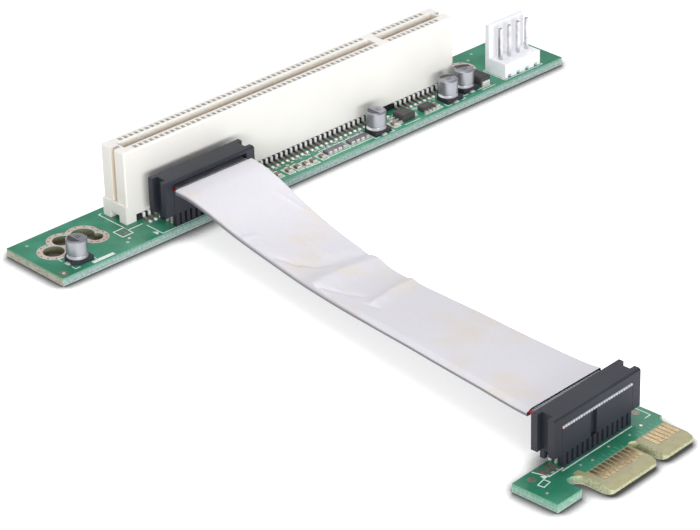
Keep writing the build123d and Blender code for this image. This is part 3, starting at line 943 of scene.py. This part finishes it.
outline_left = slot_a - 1.3
part_pen = 0.15
print_line([(outline_left + 0.6, 6.3), (outline_left, 6.3), (outline_left, -2.3), (slot_a + 2.1, -2.3)])
print_line([(slot_b + 1.2, 6.3), (slot_b + 1.2, -1.4)])
print_frame(slot_a - 3.8, outline_left - 0.05, -3.75, -1.05)
print_line([(plug_x - 12.1, -3.3), (plug_x - 12.1, board_front + 0.3), (plug_x + 12.1, board_front + 0.3),
            (plug_x + 12.1, -3.4)])
lay(ink, [(plug_x - 13.1, -7.7), (plug_x - 12.25, -6.9), (plug_x - 13.1, -6.1)], ink_t)
lay(ink, square(slot_a - 13.75, slot_a - 8.8, -7.75, -6.95), ink_t)
for x0, x1, y0, y1, *_ in lumps("cap_bases"):
    gap, leg = 0.4, 1.1
    for sx, ex in ((-1, x0 - gap), (1, x1 + gap)):
        for sy, ey in ((-1, max(y0 - gap, board_front + 0.25)), (1, y1 + gap)):
            if is_free(ex - sx * leg, ey, 0.1) and is_free(ex, ey, 0.1):
                print_line([(ex - sx * leg, ey), (ex, ey), (ex, ey - sy * leg)], part_pen)
for x0, x1, y0, y1, *_ in lumps("array_bodies"):
    print_frame(x0 - 0.3, x1 + 0.3, y0 - 0.85, y1 + 0.85)
for x0, x1, y0, y1, *_ in lumps("chip_bodies"):
    if y0 - 0.8 > board_front + 0.15:
        print_frame(x0 - 0.34, x1 + 0.34, y0 - 0.72, y1 + 0.72)
for x0, x1, y0, y1, *_ in lumps("regulator_body") + lumps("driver_body") + lumps("diode_body"):
    for y in (y0 - 0.95, y1 + 0.9):
        print_line([(x0 - 0.5, y), (x1 + 0.5, y)], part_pen)
for x0, x1, y0, y1, *_ in lumps("header_housing"):
    corners = square(x0 - 0.35, x1 + 0.35, y0 - 0.35, y1 + 0.35)
    print_line([corners[3], *corners[:3], (x0 - 0.1, y1 + 0.35)], part_pen)
white_ink = skinned("white_print", (0.76, 0.80, 0.77), (0.66, 0.71, 0.68), patch=900, grain=3500,
                    rough=(0.5, 0.7))
piece_from("white_print_long_board", ink, white_ink)
pad_dark = ([], [])
lay(pad_dark, square(slot_a - 3.35, slot_a - 2.1, -3.1, -1.75), copper_t,
    [circle(slot_a - 2.72, -2.42, 0.3, 12)[::-1]])
mark_x, mark_y = board_left + 1.35, board_front + 1.45
lay(pad_dark, circle(mark_x, mark_y, 0.85, 20), copper_t * 0.5)
piece_from("test_pads", pad_dark, foot_tin)
mark = ([], [])
lay(mark, circle(mark_x, mark_y, 0.33, 14), copper_t)
piece_from("fiducial", mark, tin)


# The card slot: one long ivory nylon moulding, with painted shade, a warm tan,
# inside its windows and grooves, over two rows of bent tinned contacts and a black guide strip that also
# stands in for the deep shade under the housing.
ivory_recess_painted_shade = (0.99, 0.90, 0.79)


def ivory_finish():
    """Ivory nylon with painted shade inside the mouth, the windows and the end grooves: a tan that deepens
    below the top.
    """
    material = skinned("ivory_moulding", (0.865, 0.840, 0.795), (0.825, 0.800, 0.755), patch=60,
                       grain=1500, rough=(0.36, 0.48), relief=0.00003)
    tree = material.node_tree
    shader = tree.nodes["Principled BSDF"]
    place = split(tree, object_place(tree))
    low, high = slot_box
    # Painted shade: the colour turns tan inside the slot's outline, deeper further below the top.
    inside = within_box(tree, place, (slot_start, slot_end, low.y, high.y), 0.15 * mm)
    below = ranged(tree, place["Z"], (high.z - 0.1 * mm, high.z - 1.6 * mm))
    plain = shader.inputs["Base Color"].links[0].from_socket
    tan = blend(tree, calc(tree, "MULTIPLY", inside, below), plain, ivory_recess_painted_shade, "MULTIPLY")
    feed(tree, shader, {"Base Color": tan, "Subsurface Weight": 0.25, "Subsurface Radius": (1.0, 0.8, 0.6),
                        "Subsurface Scale": 0.0015})
    return material


dress(ivory_finish(), "slot_housing")
black = skinned("black_moulding", (0.020, 0.023, 0.035), (0.012, 0.014, 0.022), patch=90, grain=2600,
                rough=(0.5, 0.64), relief=0.00003)
# The black guide strip under the housing also stands in for the deep shade between the leads there.
dress(black, "lead_guide")


def height_tint():
    """A colour that turns into another one between two heights."""
    takes = {"Plain": (1, 1, 1, 1), "Tint": (1, 1, 1, 1), "Plain Height": 0.0, "Tint Height": 1.0}
    group, given, out = effect("height_tint", takes, ("Color",))
    height = split(group, object_place(group))["Z"]
    share = ranged(group, height, (given["Plain Height"], given["Tint Height"]))
    feed(group, out, {"Color": blend(group, share, given["Plain"], given["Tint"])})
    return group


by_height = height_tint()


def tinted(material, tint, plain_z, tint_z):
    """A skinned material that turns into another colour with height."""
    tree = material.node_tree
    base = tree.nodes["Principled BSDF"].inputs["Base Color"]
    values = {"Plain": base.links[0].from_socket, "Tint": (*tint, 1), "Plain Height": plain_z,
              "Tint Height": tint_z}
    tree.links.new(node(tree, "ShaderNodeGroup", values, node_tree=by_height).outputs["Color"], base)
    return material


# Bright tin on the upright part of each contact, dulled by flux on its foot.
contact_tin = skinned("contact_tin", (0.97, 0.96, 0.95), (0.92, 0.91, 0.89), patch=900, grain=4000,
                      rough=(0.22, 0.4), metal=0.25)
flux_brown = (0.20, 0.17, 0.15)
dress(tinted(contact_tin, flux_brown, board_top + 0.55 * mm, board_top + 0.30 * mm),
      "slot_contacts_front", "slot_contacts_back")


# The ribbon connectors: black glass-filled mouldings whose cover is pressed on
# over the ribbon, standing on tinned posts that are soldered into the board.
dress(black, "plug_covers", "plug_bodies", "cap_bases")
dress(tin, "plug_posts")


# The capacitors: drawn aluminium cans with a dark segment and two short bars
# printed on top, on black bases with short tinned leads. The band below the rim is painted bright, a painted
# highlight on the bead.
# Painted highlight: the can's colour turns pale below its rim.
can_rim_top = board_top + 1.35 * mm
can_bead_painted_highlight = (0.80, 0.80, 0.83)
can_skin = skinned("can_aluminium", (0.37, 0.38, 0.41), (0.31, 0.32, 0.355), patch=300, grain=3000,
                   rough=(0.28, 0.4), metal=0.8)
dress(tinted(can_skin, can_bead_painted_highlight, can_rim_top + 0.05 * mm, can_rim_top - 0.05 * mm), "cap_cans")
dress(tin, "cap_leads")
segments = ([], [])
segment_spread = 76
segment_inset = 0.32
bar_w = 0.17
for (x0, x1, y0, y1, _, z1), toward in zip(sorted(lumps("cap_cans")), (180, 180, 70, 70)):
    x, y, r = (x0 + x1) / 2, (y0 + y1) / 2, (x1 - x0) / 2 - segment_inset
    arc = [math.radians(toward + segment_spread * (2 * k / 14 - 1)) for k in range(15)]
    way = Vector((math.cos(math.radians(toward)), math.sin(math.radians(toward))))
    aside = Vector((-way.y, way.x))
    shapes = [[(x + r * math.cos(a), y + r * math.sin(a)) for a in arc]]
    for back, half in ((0.12, 0.62), (0.62, 0.52)):
        middle = Vector((x, y)) - way * back
        shapes.append(line([tuple(middle - aside * half), tuple(middle + aside * half)], bar_w))
    for shape in shapes:
        add_prism(segments, shape, z1 - 0.01, z1 + 0.015)
can_print = skinned("can_print", (0.045, 0.045, 0.05), (0.03, 0.03, 0.035), grain=3500, rough=(0.4, 0.6))
piece_from("can_marks", segments, can_print)


# The small parts: black moulded packages with tinned leads, grey resistor
# arrays and brown chips with tinned ends, all soldered to their pads.
package = skinned("epoxy_package", (0.050, 0.048, 0.048), (0.036, 0.034, 0.034), grain=3500,
                  rough=(0.4, 0.58))
dress(package, "regulator_body", "driver_body", "diode_body")
array_glaze = skinned("array_glaze", (0.16, 0.15, 0.17), (0.10, 0.10, 0.12), patch=500, grain=3500,
                      rough=(0.35, 0.5))
dress(array_glaze, "array_bodies")
ceramic = skinned("brown_ceramic", (0.26, 0.18, 0.12), (0.16, 0.12, 0.09), patch=700, grain=3500,
                  rough=(0.4, 0.6))
dress(ceramic, "chip_bodies")
dress(tin, "regulator_leads", "driver_leads", "diode_terminals", "array_terminals", "chip_terminals")


# The power header: a white nylon base and locking wall, moulded in one, with
# four square tinned pins pressed through it and soldered underneath.
white_nylon = skinned("white_nylon", (0.86, 0.865, 0.90), (0.82, 0.825, 0.86), patch=80, grain=1500,
                      rough=(0.36, 0.48), relief=0.00003)
dress(white_nylon, "header_housing")
pin_tin = skinned("pin_tin", (0.78, 0.77, 0.78), (0.60, 0.59, 0.60), patch=900, grain=4000, rough=(0.25, 0.4),
                  metal=1.0)
dress(pin_tin, "header_pins")


# The short board. The same laminate with its tongues left bare and bevelled,
# gold fingers on both sides and its own white print.
bare_laminate = (0.36, 0.335, 0.195)
edge_mint = (0.36, 0.56, 0.46)
tongue_side = (0.60, 0.57, 0.36)
mask_end_v = 6.25


def short_board_finish():
    """Green mask that stops short of the tongues, where the laminate is bare."""
    material, tree, shader, _, edge = board_finish("short_board_laminate")
    where = object_place(tree)
    place = split(tree, where)
    cos_t, sin_t = math.cos(tab_turn), math.sin(tab_turn)
    u0 = tab_origin.x * cos_t + tab_origin.y * sin_t
    v0 = -tab_origin.x * sin_t + tab_origin.y * cos_t

    def along(x_share, y_share):
        """Distance in a direction of the turned board."""
        return calc(tree, "ADD", calc(tree, "MULTIPLY", place["X"], x_share),
                    calc(tree, "MULTIPLY", place["Y"], y_share))

    along_u = along(cos_t, sin_t)
    along_v = along(-sin_t, cos_t)

    def before(u_end, v_end):
        """1 on the tongues' side of two limits."""
        return calc(tree, "MULTIPLY", within(tree, along_u, u0 - 0.6 * mm, u0 + u_end * mm),
                    within(tree, along_v, v0 - 5 * mm, v0 + v_end * mm))

    is_bare = calc(tree, "MAXIMUM", before(30, mask_end_v), before(0.9, 7.6))
    bare = ramp(tree, noise(tree, where, 700, 2), (0.0, [c * 0.82 for c in bare_laminate]),
                (1.0, [min(1, c * 1.12) for c in bare_laminate]))
    faces = shader.inputs["Base Color"].links[0].from_node
    plain = faces.inputs["A"].links[0].from_socket
    feed(tree, faces, {"A": blend(tree, is_bare, plain, bare)})
    beside = ranged(tree, along_u, (u0 - 2.6 * mm, u0 + 0.4 * mm), interpolation_type="SMOOTHSTEP")
    feed(tree, edge, {"Tone": blend(tree, beside, edge_mint, tongue_side),
                      "Green Share": calc(tree, "SUBTRACT", 1.0, beside, use_clamp=True)})
    return material


dress(short_board_finish(), "plug_board")
gold = skinned("gold_plate", (0.52, 0.39, 0.235), (0.44, 0.325, 0.19), patch=250, grain=1200,
               rough=(0.26, 0.32), relief=0.000002, metal=1.0, strength=0.1)
dress(gold, "edge_fingers_top", "edge_fingers_under")

on_short_board = tab_place @ in_mm
short_ink = ([], [])


def lay_short(heap, outline, thick):
    """A thin slab on the short board's upper face."""
    lay(heap, outline, thick, place=on_short_board)


def print_short(points, width=pen):
    """A white line on the short board."""
    lay_short(short_ink, line(points, width), ink_t)


print_short([(-1.1, 9.3), (16.7, 9.3)])
print_short([(-4.5, 12.7), (-3.7, 9.8), (-0.2, 9.8)], 0.16)
print_short([(-6.8, 9.6), (-6.6, 8.4), (-4.8, 8.7), (-4.9, 9.9), (-6.7, 9.6)], 0.15)
lay_short(short_ink, [(-4.7, 9.9), (-3.5, 10.0), (-4.6, 10.9)], ink_t)
print_short([(19.9, 9.2), (21.4, 9.2), (21.4, 12.4)], 0.15)
piece_from("white_print_short_board", short_ink, white_ink)

short_pads = ([], [])
short_brown = ([], [])
lay_short(short_brown, circle(-6.2, 11.3, 0.75, 18), copper_t)
lay_short(short_brown, circle(20.3, 11.4, 0.7, 18), copper_t)
post_columns = 14
post_pitch = 1.27
for k in range(post_columns):
    for row in (-post_pitch / 2, post_pitch / 2):
        spot = (tab_u / mm + post_pitch * (k - (post_columns - 1) / 2), tab_v / mm + row)
        add_prism(short_pads, circle(*spot, 0.47, 14), -under_t, in_board, place=on_short_board)
for k in range(3):
    lay_short(short_brown, square(-4.0 + 1.25 * k, -3.1 + 1.25 * k, 10.5, 12.4), copper_t)
    lay_short(short_pads, circle(-3.55 + 1.25 * k, 10.2, 0.28, 10), copper_t)
for u, v in ((2.2, 8.2), (4.6, 7.7), (9.4, 8.3), (14.3, 7.9), (17.8, 8.3), (-7.6, 7.0)):
    lay_short(short_pads, circle(u, v, 0.26, 10), copper_t)
piece_from("short_board_pads", short_pads, tin)
piece_from("short_board_copper", short_brown, foot_tin)
short_tracks = ([], [])
for k, u in enumerate([1.825 + j for j in range(10)] + [15.025 + j for j in range(6)]):
    lay_short(short_tracks, line([(u, 5.9), (u, 7.0 + 0.35 * (k % 3))], 0.28), track_t)
piece_from("short_board_tracks", short_tracks, mask_ridge)
